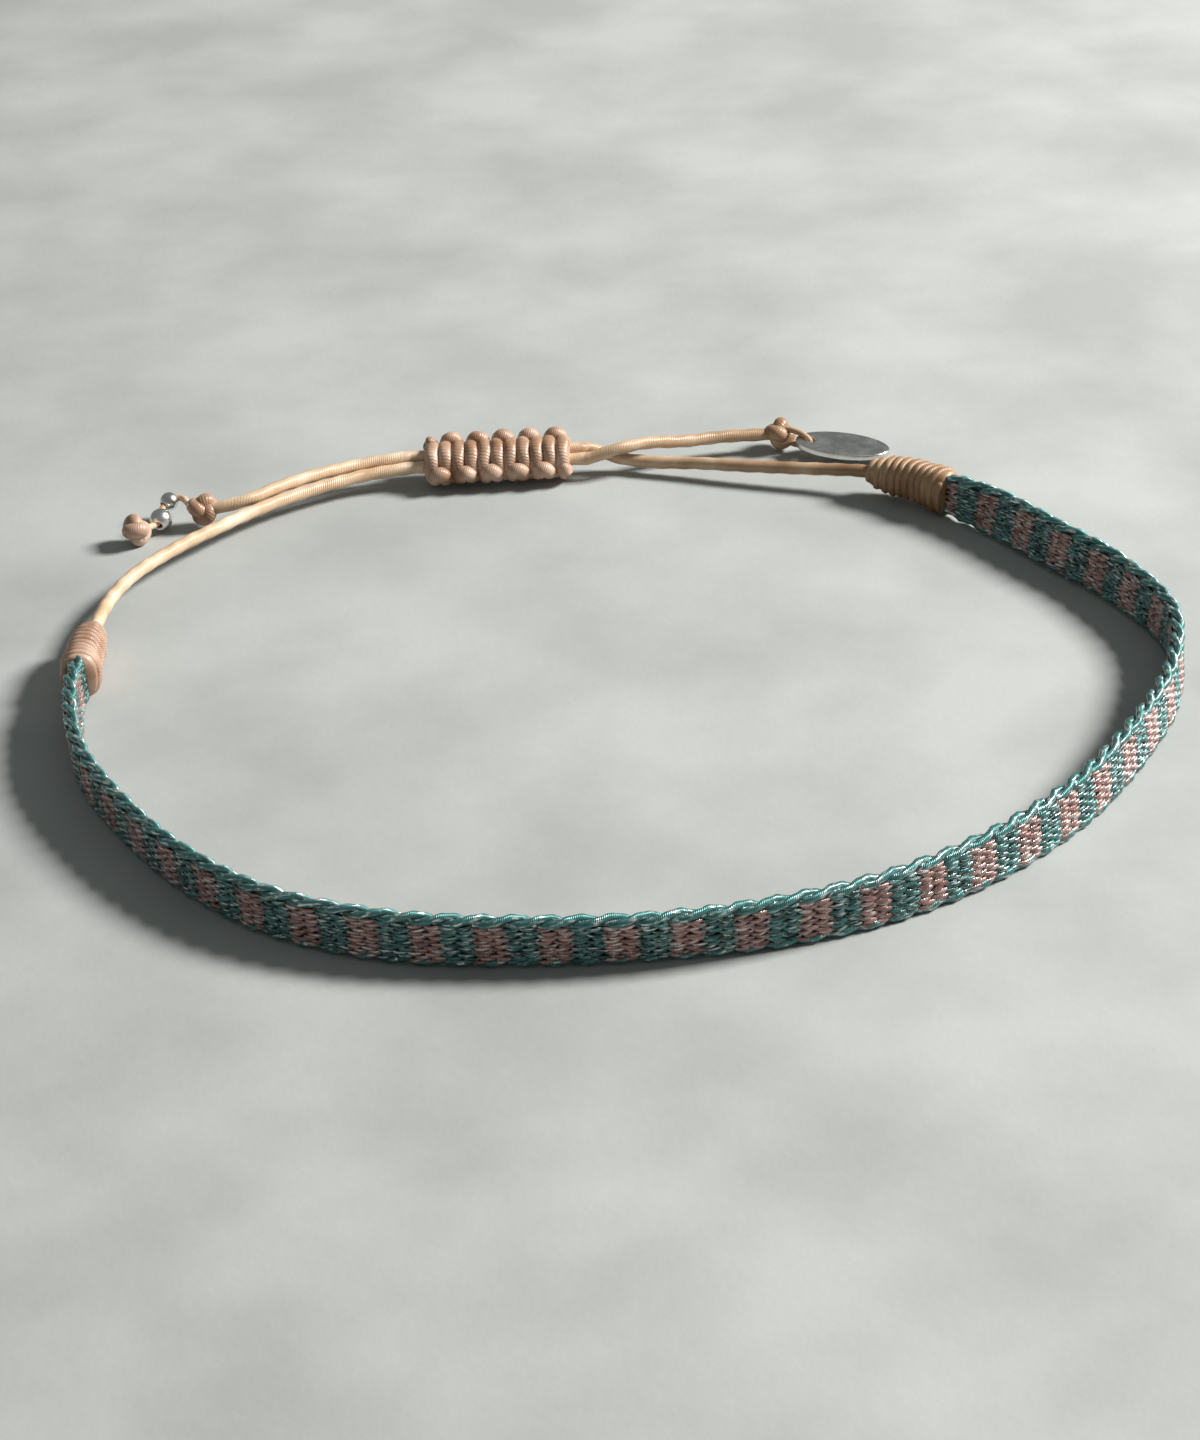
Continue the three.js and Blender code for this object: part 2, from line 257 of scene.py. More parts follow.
def hoops(path, along, hint, size):
    """Rings round a path: point = path + size (cos a side + sin a up), where side is the hint
    made square to the path, up = side x along, and size has a radius for every point."""
    side = unit(hint - (hint * along).sum(1, keepdims=True) * along)
    up = np.cross(side, along)
    angle = np.linspace(0, 2 * np.pi, size.shape[1], endpoint=False)[None, :, None]
    ring = side[:, None] * np.cos(angle) + up[:, None] * np.sin(angle)
    return path[:, None] + ring * size[..., None]


def tube_rings(path, radius, around, hint=None, lay=1.6, depth=0.05, round_ends=False):
    """Rings of a thread of two plies along a path, from the hint or else from the level
    direction across it: radius (1 + depth cos(2 a - 2 pi run / lay)).
    round_ends closes the radius like a half ball over the first and last stretch."""
    run = run_of(path)
    along = unit(np.gradient(path, axis=0))
    if hint is None:
        hint = np.stack([along[:, 1], -along[:, 0], 0 * run], 1)
    angle = np.linspace(0, 2 * np.pi, around, endpoint=False)
    size = radius * (1 + depth * np.cos(2 * angle[None] - 2 * np.pi * run[:, None] / lay))
    if round_ends:
        inset = np.clip(np.minimum(run, run[-1] - run) / radius, 0.02, 1)
        size = size * np.sqrt(1 - (1 - inset[:, None])**2)
    return hoops(path, along, hint, size)


def closed_along(path):
    """Direction of a closed path at each of its points."""
    return unit(np.roll(path, -1, 0) - np.roll(path, 1, 0))


def skin(name, rings, finish, joined=False, marks=None, scale=1.0):
    """Closed skin, or many alike, over rings of points shaped (copies, rows, around, 3) in
    millimetres. Neighbouring rings are joined by four-sided faces; unless the rows are joined
    into a ring, each end is closed by a fan to its middle point. Faces are turned outwards where
    the enclosed volume, the sum of a . (b x c) / 6, comes out negative. The UV map runs along the
    rows and round each ring. marks are numbers shaped (copies,) that the finish reads."""
    rings = np.asarray(rings, float)
    rings = rings[None] if rings.ndim == 3 else rings
    copies, rows, around, _ = rings.shape
    index = np.arange(copies * rows * around).reshape(copies, rows, around)
    row, column = np.meshgrid(np.arange(rows), np.arange(around), indexing="ij")
    lower = index if joined else index[:, :-1]
    upper = np.roll(index, -1, 1) if joined else index[:, 1:]
    quads = np.stack([lower, np.roll(lower, -1, 2), np.roll(upper, -1, 2), upper], -1).reshape(-1, 4)
    row = row if joined else row[:-1]
    column = column[:len(row)]
    u = np.stack([row, row, row + 1, row + 1], -1) / (rows - 1)
    v = np.stack([column, column + 1, column + 1, column], -1) / around
    quad_uv = np.stack([u * scale, v], -1)
    quad_uv = np.broadcast_to(quad_uv, (copies, *quad_uv.shape)).reshape(-1, 2)
    points = rings.reshape(-1, 3)
    triangles = np.zeros((0, 3), int)
    poles = np.zeros((0, 3))
    if not joined:
        poles = np.stack([rings[:, 0].mean(1), rings[:, -1].mean(1)], 1).reshape(-1, 3)
        pole = (len(points) + np.arange(2 * copies)).reshape(copies, 2, 1) + np.zeros((1, 1, around), int)
        first = np.stack([pole[:, 0], np.roll(index[:, 0], -1, 1), index[:, 0]], -1)
        last = np.stack([pole[:, 1], index[:, -1], np.roll(index[:, -1], -1, 1)], -1)
        triangles = np.concatenate([first, last]).reshape(-1, 3)
    points = np.concatenate([points, poles])
    split = np.concatenate([quads[:, [0, 1, 2]], quads[:, [0, 2, 3]], triangles])
    a, b, c = (points[split[:, k]] - points[0] for k in range(3))
    if (a * np.cross(b, c)).sum() < 0:
        quads = quads[:, ::-1]
        quad_uv = quad_uv.reshape(-1, 4, 2)[:, ::-1].reshape(-1, 2)
        triangles = triangles[:, ::-1]
    corners = np.concatenate([quads.ravel(), triangles.ravel()])
    totals = np.concatenate([np.full(len(quads), 4), np.full(len(triangles), 3)])
    starts = np.concatenate([[0], np.cumsum(totals)[:-1]])
    mesh = bpy.data.meshes.new(name)
    mesh.vertices.add(len(points))
    mesh.vertices.foreach_set("co", ((points + CENTRING) * MM).ravel())
    mesh.loops.add(len(corners))
    mesh.loops.foreach_set("vertex_index", corners)
    mesh.polygons.add(len(totals))
    mesh.polygons.foreach_set("loop_start", starts)
    mesh.polygons.foreach_set("loop_total", totals)
    mesh.polygons.foreach_set("use_smooth", np.ones(len(totals), bool))
    layer = mesh.uv_layers.new(name="UVMap")
    cap_uv = np.zeros((3 * len(triangles), 2))
    layer.data.foreach_set("uv", np.concatenate([quad_uv, cap_uv]).ravel())
    for mark, values in (marks or {}).items():
        spread = np.repeat(np.asarray(values, float), rows * around)
        ends = np.repeat(np.asarray(values, float), 0 if joined else 2)
        data = mesh.attributes.new(mark, "FLOAT", "POINT").data
        data.foreach_set("value", np.concatenate([spread, ends]))
    mesh.update(calc_edges=True)
    mesh.validate()
    mesh.materials.append(finish)
    piece = bpy.data.objects.new(name, mesh)
    bpy.context.collection.objects.link(piece)
    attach(piece, "root")
    return piece


def new_material(name):
    """Empty node material with its shader and output."""
    material = bpy.data.materials.new(name)
    material.use_nodes = True
    nodes = material.node_tree.nodes
    return material, nodes, material.node_tree.links, nodes["Principled BSDF"]


def mix_colour(nodes, links, factor, low, high):
    """Colour between two colours, or sockets, by a factor socket."""
    mix = nodes.new("ShaderNodeMix")
    mix.data_type = "RGBA"
    links.new(factor, mix.inputs[0])
    for socket, value in ((mix.inputs[6], low), (mix.inputs[7], high)):
        if isinstance(value, tuple):
            socket.default_value = (*value, 1)
        else:
            links.new(value, socket)
    return mix.outputs[2]


def noise(nodes, links, scale, detail=3):
    """Noise over the piece's own coordinates."""
    coordinates = nodes.new("ShaderNodeTexCoord")
    texture = nodes.new("ShaderNodeTexNoise")
    texture.inputs["Scale"].default_value = scale
    texture.inputs["Detail"].default_value = detail
    links.new(coordinates.outputs["Object"], texture.inputs["Vector"])
    return texture.outputs["Fac"]


def bump(nodes, links, height, shader, strength, distance):
    """Bump from a height socket into the shader's normal."""
    node = nodes.new("ShaderNodeBump")
    node.inputs["Strength"].default_value = strength
    node.inputs["Distance"].default_value = distance
    links.new(height, node.inputs["Height"])
    links.new(node.outputs["Normal"], shader.inputs["Normal"])


def ramp(nodes, links, source, stops):
    """Colour ramp over a factor socket."""
    node = nodes.new("ShaderNodeValToRGB")
    elements = node.color_ramp.elements
    while len(elements) < len(stops):
        elements.new(0.5)
    for element, (place, value) in zip(elements, stops):
        element.position = place
        element.color = (*value, 1) if isinstance(value, tuple) else (value, value, value, 1)
    links.new(source, node.inputs[0])
    return node.outputs[0]


def metallic_thread():
    """Teal and rose metallic thread: the marks rose and tone pick the colour of each stitch,
    long streaks along each stitch carry a painted near-white highlight in their colour and are
    smoother, and fine fibres slant across it."""
    material, nodes, links, shader = new_material("metallic_thread")
    rose = nodes.new("ShaderNodeAttribute")
    rose.attribute_name = "rose"
    tone = nodes.new("ShaderNodeAttribute")
    tone.attribute_name = "tone"
    teal = mix_colour(nodes, links, tone.outputs["Fac"], (0.012, 0.055, 0.056), (0.085, 0.26, 0.245))
    pink = mix_colour(nodes, links, tone.outputs["Fac"], (0.22, 0.1, 0.088), (0.54, 0.33, 0.29))
    colour = mix_colour(nodes, links, rose.outputs["Fac"], teal, pink)
    coordinates = nodes.new("ShaderNodeTexCoord")
    stretch = nodes.new("ShaderNodeMapping")
    stretch.inputs["Scale"].default_value = (1.5, 6, 1)
    links.new(coordinates.outputs["UV"], stretch.inputs["Vector"])
    own = nodes.new("ShaderNodeMath")
    own.operation = "MULTIPLY"
    own.inputs[1].default_value = 70
    links.new(tone.outputs["Fac"], own.inputs[0])
    glint_and_gloss_noise = nodes.new("ShaderNodeTexNoise")
    glint_and_gloss_noise.noise_dimensions = "4D"
    glint_and_gloss_noise.inputs["Scale"].default_value = 1.4
    links.new(stretch.outputs["Vector"], glint_and_gloss_noise.inputs["Vector"])
    links.new(own.outputs[0], glint_and_gloss_noise.inputs["W"])
    glint_and_gloss = glint_and_gloss_noise.outputs["Fac"]
    # Painted highlight: near-white glints mixed into the thread colour where the streak noise is high; the
    # same noise also lowers the roughness there.
    painted_glint = ramp(nodes, links, glint_and_gloss, [(0.54, 0.0), (0.64, 0.8)])
    links.new(mix_colour(nodes, links, painted_glint, colour, (0.85, 0.88, 0.86)), shader.inputs["Base Color"])
    links.new(ramp(nodes, links, glint_and_gloss, [(0.4, 0.45), (0.65, 0.22)]), shader.inputs["Roughness"])
    shader.inputs["Metallic"].default_value = 0.6
    shader.inputs["Coat Weight"].default_value = 0.5
    shader.inputs["Coat Roughness"].default_value = 0.2
    turn = nodes.new("ShaderNodeMapping")
    turn.inputs["Rotation"].default_value = (0, 0, math.radians(32))
    fibres = nodes.new("ShaderNodeTexWave")
    fibres.inputs["Scale"].default_value = 3.0
    fibres.inputs["Distortion"].default_value = 1.2
    links.new(coordinates.outputs["UV"], turn.inputs["Vector"])
    links.new(turn.outputs["Vector"], fibres.inputs["Vector"])
    bump(nodes, links, fibres.outputs["Fac"], shader, 0.6, 0.00004)
    return material


def waxed_thread(name, left_colours, right_colours):
    """Waxed thread: each set of three colours runs from its dark to its pale one by broad noise,
    and the left set gives way to the darker, browner right set towards the right end of the bracelet."""
    material, nodes, links, shader = new_material(name)
    broad = noise(nodes, links, 420)
    places = (0.3, 0.55, 0.75)
    left_ramp = ramp(nodes, links, broad, list(zip(places, left_colours)))
    right_ramp = ramp(nodes, links, broad, list(zip(places, right_colours)))
    coordinates = nodes.new("ShaderNodeTexCoord")
    split = nodes.new("ShaderNodeSeparateXYZ")
    links.new(coordinates.outputs["Object"], split.inputs[0])
    rightward = nodes.new("ShaderNodeMapRange")
    rightward.inputs["From Min"].default_value = -0.006
    rightward.inputs["From Max"].default_value = 0.02
    links.new(split.outputs["X"], rightward.inputs["Value"])
    colour = mix_colour(nodes, links, rightward.outputs["Result"], left_ramp, right_ramp)
    links.new(colour, shader.inputs["Base Color"])
    links.new(ramp(nodes, links, broad, [(0.3, 0.3), (0.7, 0.46)]), shader.inputs["Roughness"])
    turn = nodes.new("ShaderNodeMapping")
    turn.inputs["Rotation"].default_value = (0, 0, math.radians(40))
    plies = nodes.new("ShaderNodeTexWave")
    plies.inputs["Scale"].default_value = 2.6
    plies.inputs["Distortion"].default_value = 0.8
    links.new(coordinates.outputs["UV"], turn.inputs["Vector"])
    links.new(turn.outputs["Vector"], plies.inputs["Vector"])
    bump(nodes, links, plies.outputs["Fac"], shader, 0.35, 0.00005)
    shader.inputs["Subsurface Weight"].default_value = 0.12
    shader.inputs["Subsurface Radius"].default_value = (0.0006, 0.0004, 0.0002)
    return material


def polished_silver():
    """Polished silver with light handling marks in its roughness and relief."""
    material, nodes, links, shader = new_material("polished_silver")
    marks = noise(nodes, links, 900, detail=5)
    links.new(ramp(nodes, links, marks, [(0.3, (0.62, 0.62, 0.6)), (0.7, (0.84, 0.83, 0.8))]),
              shader.inputs["Base Color"])
    links.new(ramp(nodes, links, marks, [(0.35, 0.2), (0.7, 0.34)]), shader.inputs["Roughness"])
    shader.inputs["Metallic"].default_value = 1.0
    bump(nodes, links, marks, shader, 0.15, 0.00002)
    return material


def pale_paper():
    """Pale grey-green paper with a faint mottle."""
    material, nodes, links, shader = new_material("pale_paper")
    mottle = noise(nodes, links, 60, detail=6)
    colour = ramp(nodes, links, mottle, [(0.35, (0.34, 0.355, 0.34)), (0.65, (0.43, 0.445, 0.43))])
    links.new(colour, shader.inputs["Base Color"])
    shader.inputs["Roughness"].default_value = 0.75
    grain = noise(nodes, links, 1500, detail=4)
    bump(nodes, links, grain, shader, 0.25, 0.00006)
    return material


METALLIC = metallic_thread()
# Darker, browner colours that the cords and the bound thread take on towards the right end of the
# bracelet.
RIGHT_END_COLOURS = ((0.22, 0.11, 0.05), (0.34, 0.2, 0.105), (0.46, 0.3, 0.18))
WAXED = waxed_thread("waxed_cord", ((0.55, 0.36, 0.21), (0.72, 0.52, 0.35), (0.84, 0.67, 0.5)), RIGHT_END_COLOURS)
BOUND = waxed_thread("bound_thread", ((0.3, 0.165, 0.095), (0.47, 0.305, 0.215), (0.6, 0.43, 0.335)), RIGHT_END_COLOURS)
SILVER = polished_silver()


class BandLine:
    """The band's middle line as arrays against the distance run along it."""

    def __init__(self):
        table = smooth_line(BAND_PATH, 4001)
        self.plan = table[:, :2] * (LOOP_WIDTH, LOOP_DEPTH)
        self.run = run_of(self.plan)
        along = unit(np.gradient(self.plan, axis=0))
        self.outward = np.stack([along[:, 1], -along[:, 0]], 1)
        self.lean = np.radians(table[:, 2])
        self.share = np.minimum(table[:, 3], 1)
        front = self.plan[:, 1] < -20
        self.rose = np.interp(FRONT_ROSE_X - CENTRING[0], self.plan[front, 0], self.run[front])

    def at(self, run, out, up):
        """Point at a distance run along, out from the middle line and up from mid height:
        centre + out (cos lean outward - sin lean z) + up (sin lean outward + cos lean z)."""
        x, y = (np.interp(run, self.run, self.plan[:, k]) for k in (0, 1))
        nx, ny = (np.interp(run, self.run, self.outward[:, k]) for k in (0, 1))
        lean = np.interp(run, self.run, self.lean)
        up = up * np.interp(run, self.run, self.share)
        level = out * np.cos(lean) + up * np.sin(lean)
        height = MID_HEIGHT + up * np.cos(lean) - out * np.sin(lean)
        return np.stack([x + nx * level, y + ny * level, height], -1)


BAND = BandLine()


def band_core():
    """Inner body of the band: rounded strip section carried along its line."""
    run = np.linspace(0, BAND.run[-1], 420)[:, None]
    angle = np.linspace(0, 2 * np.pi, 20, endpoint=False)[None]
    out = 0.27 * np.sign(np.cos(angle)) * np.abs(np.cos(angle)) ** 0.4
    up = 1.6 * np.sign(np.sin(angle)) * np.abs(np.sin(angle)) ** 0.4
    piece = skin("band_core", BAND.at(run + 0 * angle, out + 0 * run, up + 0 * run), METALLIC,
                 marks={"rose": [0.0], "tone": [0.0]}, scale=140)
    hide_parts("woven_band")


def stitches(name, face):
    """One face of the weave: rows of floats that lie along the band, two to each stripe.
    A float is a lens of thread, half width sqrt(1 - t^4) over its length t from -1 to 1; its
    crown 1 - t^2 lifts its middle and tucks both tips under. Odd rows sit a third of a float
    further on, so the stripes meet in short teeth."""
    first = BAND.rose % STITCH_LENGTH + STITCH_LENGTH / 2
    count = int((BAND.run[-1] - first - 0.8) / STITCH_LENGTH)
    row, number = np.meshgrid(np.arange(STITCH_ROWS), np.arange(count), indexing="ij")
    row, number = row.ravel(), number.ravel()
    even = first + number * STITCH_LENGTH
    rose = (np.cos(2 * np.pi * (even - BAND.rose) / STRIPE_PAIR) > 0).astype(float)
    copies = len(row)
    jitter = rng.normal(size=(5, copies, 1, 1))
    centre = (even + (row % 2 - 0.5) * STITCH_LENGTH / 3)[:, None, None] + 0.05 * jitter[0]
    level = ((row - (STITCH_ROWS - 1) / 2) * ROW_PITCH - ROWS_DROP)[:, None, None]
    tone = np.clip(0.42 + 0.24 * jitter[1].ravel(), 0, 1)
    t = np.array([-1, -0.86, -0.5, 0, 0.5, 0.86, 1])[:, None] * 0.99
    angle = np.linspace(0, 2 * np.pi, 7, endpoint=False)
    body = np.sqrt(1 - t**4)
    run = centre + STITCH_LENGTH * FLOAT_REACH * t + 0 * angle
    out = FLOAT_BASE + FLOAT_CROWN * (1 - t**2) + FLOAT_THICK * body * np.cos(angle) + 0.015 * jitter[2]
    slant = 0.03 + 0.05 * jitter[3]
    up = level + FLOAT_WIDE * body * np.sin(angle) + slant * t + 0.012 * jitter[4]
    skin(name, BAND.at(run, face * out, up), METALLIC,
         marks={"rose": rose, "tone": tone}, scale=1.2)


def edging(name, level, twist, start):
    """One of two strands twisted into an edge: a helix whose full turn is one stripe pair,
    out = sway cos turn and up = level + twist sin turn, so one strand crests at each stripe."""
    run = np.linspace(0.4, BAND.run[-1] - 0.4, 1300)
    turn = 2 * np.pi * (run - BAND.rose) / STRIPE_PAIR + start
    out = EDGE_SWAY * np.cos(turn)
    up = level + twist * np.sin(turn)
    path = BAND.at(run, out, up)
    hint = BAND.at(run, out + 1, up) - path
    rings = tube_rings(path, EDGE_STRAND, 9, hint, lay=0.9, depth=0.1)
    skin(name, rings, METALLIC, marks={"rose": [0.0], "tone": [0.72]}, scale=160)


def wrap_section(share, angle, inset):
    """Offsets across and up on a wound end: an oblong whose half sizes follow its table."""
    high = np.interp(share, WRAP_SECTIONS[:, 0], WRAP_SECTIONS[:, 1]) * WRAP_HEIGHT / 2 - inset
    wide = np.interp(share, WRAP_SECTIONS[:, 0], WRAP_SECTIONS[:, 2]) * WRAP_THICKNESS / 2 - inset
    across = wide * np.sign(np.cos(angle)) * np.abs(np.cos(angle)) ** 0.8
    up = high * np.sign(np.sin(angle)) * np.abs(np.sin(angle)) ** 0.8
    return across, up


def wound_end(name, points):
    """Thread wound round a band end: a filled body and one thread that runs round it turn
    beside turn, place = middle line + section offset at angle 2 pi turns share, where a slow
    wave in the share makes the turns slightly uneven."""
    middle = smooth_line(points, 201)
    along = unit(np.gradient(middle, axis=0))
    place = np.linspace(0, 1, 201)

    def point(share, across, up):
        x, y = (np.interp(share, place, middle[:, k]) for k in (0, 1))
        tx, ty = (np.interp(share, place, along[:, k]) for k in (0, 1))
        return np.stack([x + ty * across, y - tx * across, MID_HEIGHT + up], -1)

    share = np.linspace(0.0, 0.99, 40)[:, None] + np.zeros((1, 28))
    angle = np.linspace(0, 2 * np.pi, 28, endpoint=False)[None] + np.zeros((40, 1))
    body = skin(name + "_body", point(share, *wrap_section(share, angle, WRAP_THREAD * 0.24)), BOUND,
                scale=6)
    count = WRAP_TURNS * 40
    share = np.linspace(0.03, 0.97, count)
    angle = 2 * np.pi * WRAP_TURNS * (share + 0.006 * np.sin(19 * share))
    path = point(share, *wrap_section(share, angle, WRAP_THREAD / 2))
    hint = path - point(share, 0 * share, 0 * share)
    rings = tube_rings(path, WRAP_THREAD / 2, 8, hint, lay=1.1, depth=0.06, round_ends=True)
    skin(name + "_thread", rings, BOUND, scale=90)
    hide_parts(name)


def slider_strand(name, over):
    """Working strand of the row of square knots; its phase goes half a turn each half knot.
    across = -over reach sign(cos) (1 - (1 - |cos|)^2), and x runs fastest at the sides, as
    phase + side run sin(2 phase). The rise goes from its side height to its height at mid
    crossing by sin^2 (1 - cos^2 / 2).
    The upper strand bars the front and dips at the sides; the lower one bars the back and
    rises round it at the sides, where it shows as the row of bumps along each edge."""
    phase = np.linspace(0, HALF_KNOTS * np.pi, HALF_KNOTS * 28)
    pitch = (SLIDER_LENGTH - 2 * (SLIDER_STRAND + SLIDER_INSET)) / HALF_KNOTS
    x = SLIDER_LEFT + SLIDER_STRAND + SLIDER_INSET + pitch * (phase + SIDE_RUN * np.sin(2 * phase)) / np.pi
    bow = np.sin(phase) ** 2 * (1 - 0.5 * np.cos(phase) ** 2)
    reach, low, high = STRAND_OVER if over > 0 else STRAND_UNDER
    side = 1 - (1 - np.abs(np.cos(phase))) ** 2
    across = -over * reach * np.sign(np.cos(phase)) * side
    rise = low + (high - low) * bow
    y = SLIDER_CENTRE[1] + across * math.cos(SLIDER_ROLL) - rise * math.sin(SLIDER_ROLL)
    z = SLIDER_CENTRE[2] + across * math.sin(SLIDER_ROLL) + rise * math.cos(SLIDER_ROLL)
    path = np.stack([x, y, z], 1)
    hint = path - np.stack([x, 0 * x + SLIDER_CENTRE[1], 0 * x + SLIDER_CENTRE[2]], 1)
    rings = tube_rings(path, SLIDER_STRAND, 12, hint, lay=1.5, depth=0.06, round_ends=True)
    rings[..., 2] = np.maximum(rings[..., 2], 0.0)
    return skin(name, rings, BOUND, scale=60)


def cord(name, points, node):
    """Waxed cord of two plies along its route, whose last stretch reaches into its knot."""
    route = smooth_line(points, 440)
    rings = tube_rings(route, CORD / 2, 12, lay=1.7, depth=0.045)
    piece = skin(name, rings, WAXED, scale=70)
    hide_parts(node)


def turned(x, y, angle):
    """Two coordinates turned by an angle: x cos - y sin, x sin + y cos."""
    return x * math.cos(angle) - y * math.sin(angle), x * math.sin(angle) + y * math.cos(angle)


def knot(name, centre, node, turn):
    """Small overhand knot: a trefoil tube, x = sin t + 2 sin 2t, y = cos t - 2 cos 2t,
    z = -1.5 sin 3t, sized to its ball, leant over and turned about the upright."""
    t = np.linspace(0, 2 * np.pi, 120, endpoint=False)
    x = np.sin(t) + 2 * np.sin(2 * t)
    y, z = turned(np.cos(t) - 2 * np.cos(2 * t), -1.5 * np.sin(3 * t), KNOT_LEAN)
    x, y = turned(x, y, turn)
    offset = np.stack([x, y, z], 1) * (KNOT / 2 - KNOT_THREAD) / 2.5
    path = offset + centre
    rings = hoops(path, closed_along(path), offset + 0.001, np.full((len(path), 12), KNOT_THREAD))
    piece = skin(name, rings, BOUND, joined=True, scale=12)
    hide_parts(node)
    return piece


def bead(name, node, share, diameter):
    """Silver bead: the profile away = radius cos b, along = radius sin b, closed by its bore and
    turned about the tail's direction."""
    route = smooth_line(TAIL_THREAD, 201)
    place = int(share * 200)
    centre = route[place]
    axis = unit(route[place + 1] - route[place - 1])
    across = unit(np.cross(axis, [0, 0, 1.0]))
    over = np.cross(axis, across)
    radius = diameter / 2
    bore = TAIL / 2 + BORE_CLEARANCE
    reach = math.acos(bore / radius)
    ball = np.linspace(-reach, reach, 15)
    away = np.concatenate([radius * np.cos(ball), np.full(5, bore)])
    inside = np.linspace(1, -1, 7)[1:-1] * radius * math.sin(reach)
    along = np.concatenate([radius * np.sin(ball), inside])
    turn = np.linspace(0, 2 * np.pi, 32, endpoint=False)
    spoke = across * np.cos(turn)[:, None] + over * np.sin(turn)[:, None]
    rings = centre + spoke[:, None] * away[None, :, None] + axis * along[None, :, None]
    piece = skin(name, rings, SILVER, joined=True)
    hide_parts(node)
    return piece


def silver_tag():
    """Plain oval tag with a hole: every spoke runs from the hole's edge to the oval's edge, and
    its section is a rounded bar, share = (1 + cos^0.45) / 2 and height = half thickness sin^0.3,
    a little thicker towards the hole."""
    turn = np.linspace(0, 2 * np.pi, 72, endpoint=False)[:, None]
    section = np.linspace(0, 2 * np.pi, 40, endpoint=False)[None]
    share = 0.5 + 0.5 * np.sign(np.cos(section)) * np.abs(np.cos(section)) ** 0.45
    height = TAG_SIZE[2] / 2 * np.sign(np.sin(section)) * np.abs(np.sin(section)) ** 0.3
    height = height * (0.9 + 0.25 * (1 - share))
    hole_x = TAG_HOLE_INSET - TAG_SIZE[0] / 2
    x = (hole_x + TAG_HOLE * np.cos(turn)) * (1 - share) + TAG_SIZE[0] / 2 * np.cos(turn) * share
    y = TAG_HOLE * np.sin(turn) * (1 - share) + TAG_SIZE[1] / 2 * np.sin(turn) * share
    z = height + 0 * turn
    x, z = turned(x, z, -TAG_TILT)
    x, y = turned(x, y, TAG_TURN)
    piece = skin("oval_tag", np.stack([x, y, z], -1) + TAG_CENTRE, SILVER, joined=True)
    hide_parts("silver_tag")
    return piece


def tag_loop():
    """Thread that ties the tag to its knot: an oval ring through the tag's hole,
    middle + reach cos t + rise sin t."""
    hole_run = TAG_HOLE_INSET - TAG_SIZE[0] / 2
    hole = np.array(TAG_CENTRE) + (hole_run * math.cos(TAG_TURN), hole_run * math.sin(TAG_TURN), 0.2)
    middle = (hole + TAG_KNOT) / 2
    reach = (hole - TAG_KNOT) / 2
    t = np.linspace(0, 2 * np.pi, 60, endpoint=False)[:, None]
    path = middle + 1.02 * reach * np.cos(t) + np.array([0, 0, TAG_LOOP_RISE]) * np.sin(t)
    along = closed_along(path)
    hint = np.cross(along, unit(np.cross(reach, [0, 0, 1.0])))
    rings = hoops(path, along, hint, np.full((len(path), 10), TAG_THREAD))
    return skin("tag_loop", rings, WAXED, joined=True, scale=8)


def add_camera():
    """Camera at the photograph's angle: looks along +Y, down by its pitch, turned by its roll."""
    data = bpy.data.cameras.new("camera")
    data.lens = FOCAL_PIXELS / PICTURE_HEIGHT * SENSOR
    data.sensor_width = SENSOR
    data.sensor_fit = "AUTO"
    data.clip_start = 0.01
    data.clip_end = 10
    camera = bpy.data.objects.new("camera", data)
    bpy.context.collection.objects.link(camera)
    right = Vector((1, 0, 0))
    up = Vector((0, math.sin(CAMERA_PITCH), math.cos(CAMERA_PITCH)))
    forward = Vector((0, math.cos(CAMERA_PITCH), -math.sin(CAMERA_PITCH)))
    c, s = math.cos(CAMERA_ROLL), math.sin(CAMERA_ROLL)
    columns = (c * right + s * up, c * up - s * right, -forward)
    turn = Matrix([[col[k] for col in columns] for k in range(3)]).to_4x4()
    camera.matrix_world = Matrix.Translation(Vector(CAMERA_PLACE) * MM) @ turn
    bpy.context.scene.camera = camera


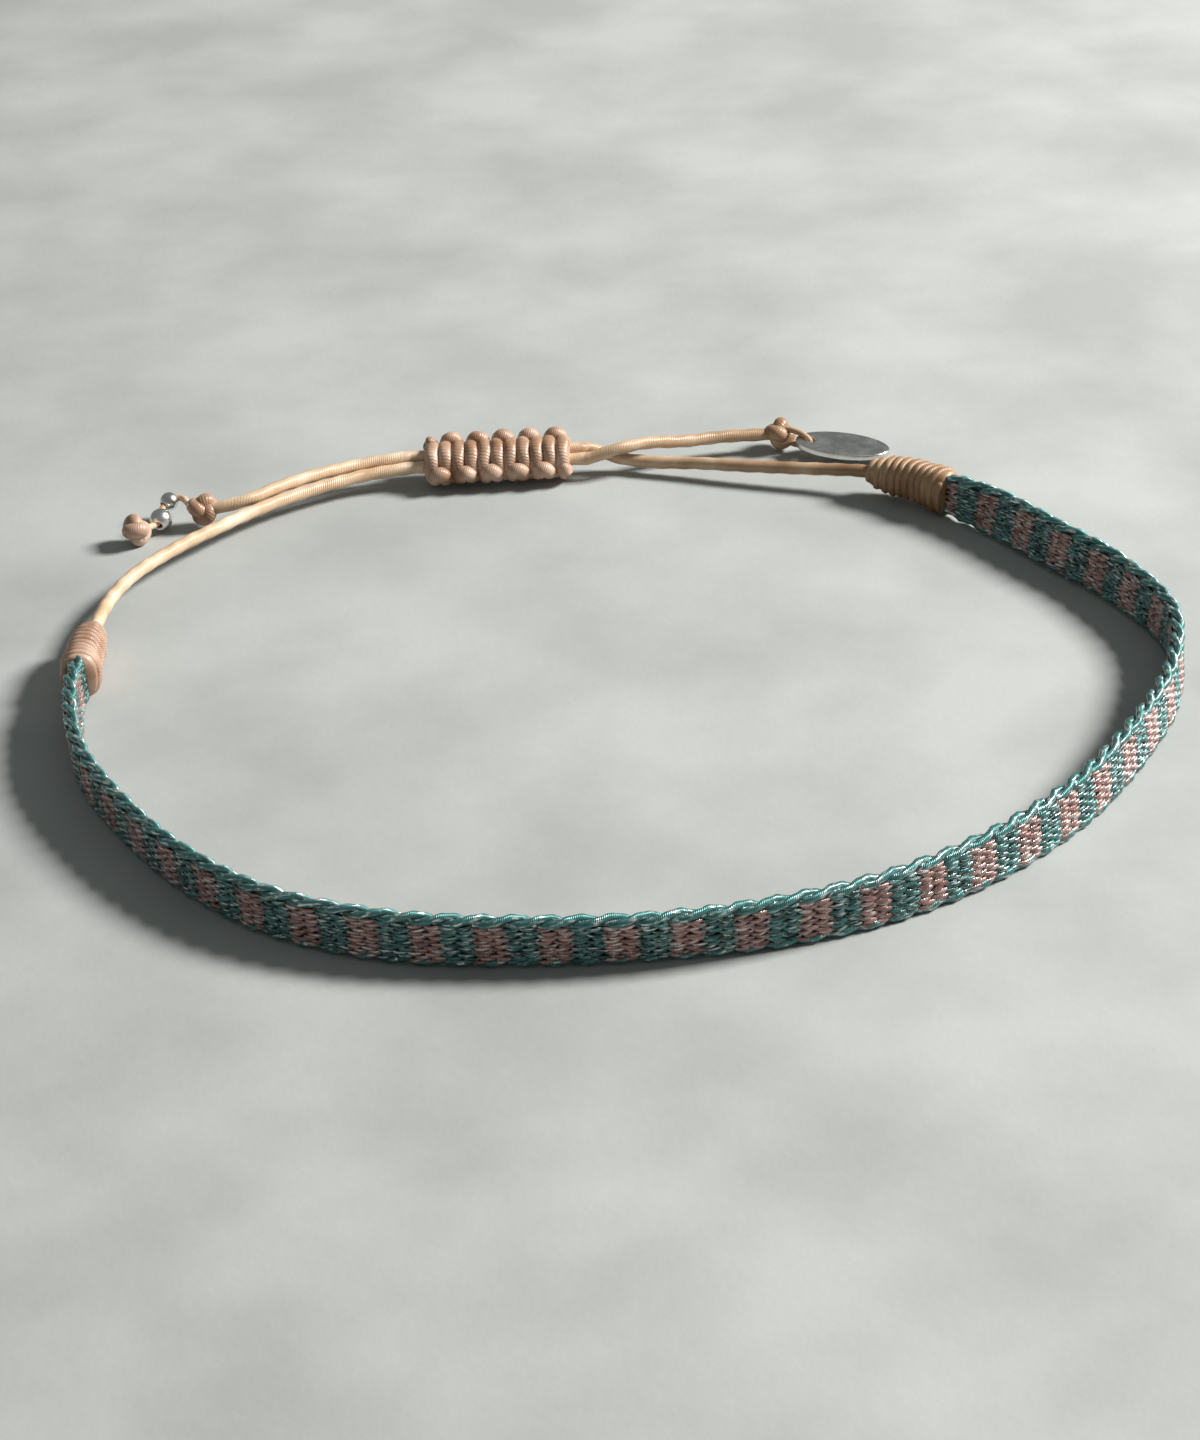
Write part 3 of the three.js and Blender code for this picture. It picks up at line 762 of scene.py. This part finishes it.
def add_light(name, place, energy, size, colour):
    """Square lamp that looks at the middle of the bracelet."""
    data = bpy.data.lights.new(name, "AREA")
    data.energy = energy
    data.size = size
    data.color = colour
    lamp = bpy.data.objects.new(name, data)
    lamp.location = place
    lamp.rotation_euler = (-Vector(place)).to_track_quat("-Z", "Y").to_euler()
    bpy.context.collection.objects.link(lamp)


def add_stage():
    """Pale table, one soft key from the right and a weak sky."""
    mesh = bpy.data.meshes.new("table")
    corners = [(-1, -1, 0), (1, -1, 0), (1, 1, 0), (-1, 1, 0)]
    mesh.from_pydata(TABLE_REACH * np.array(corners), [], [(0, 1, 2, 3)])
    mesh.materials.append(pale_paper())
    table = bpy.data.objects.new("table", mesh)
    bpy.context.collection.objects.link(table)
    add_light("key", KEY_PLACE, KEY_ENERGY, KEY_SIZE, (1.0, 0.985, 0.965))
    world = bpy.data.worlds.new("sky")
    world.use_nodes = True
    sky = world.node_tree.nodes["Background"]
    sky.inputs["Color"].default_value = (0.93, 1.0, 0.98, 1)
    sky.inputs["Strength"].default_value = SKY_STRENGTH
    bpy.context.scene.world = world
    bpy.context.scene.view_settings.view_transform = "Standard"


add_camera()
stop_knot = knot("stop_lump", STOP_KNOT, "stop_knot", 0.4)
end_knot = knot("end_lump", END_KNOT, "end_knot", 1.9)
tag_knot = knot("tag_lump", TAG_KNOT, "tag_knot", 1.1)
beads = [bead(f"silver_{name}", name, *facts) for name, facts in BEADS.items()]
tail_line = smooth_line([STOP_KNOT, *TAIL_THREAD, END_KNOT], 110)
tail = skin("tail", tube_rings(tail_line, TAIL / 2, 10, lay=0.9), WAXED, scale=12)
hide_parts("tail_thread")
tag = silver_tag()
loop = tag_loop()
cord("cord_left", [*LEFT_CORD, TAG_KNOT], "left_cord")
cord("cord_right", [*RIGHT_CORD, STOP_KNOT], "right_cord")

band_core()
stitches("outer_stitches", 1)
stitches("inner_stitches", -1)
for place, (level, twist) in EDGES.items():
    edging(f"{place}_edging_one", level, twist, 0.0)
    edging(f"{place}_edging_two", level, twist, math.pi)
wound_end("left_wrap", LEFT_WRAP)
wound_end("right_wrap", RIGHT_WRAP)
strand = slider_strand("slider_strand_over", 1)
slider_strand("slider_strand_under", -1)
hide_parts("sliding_knot")
add_stage()
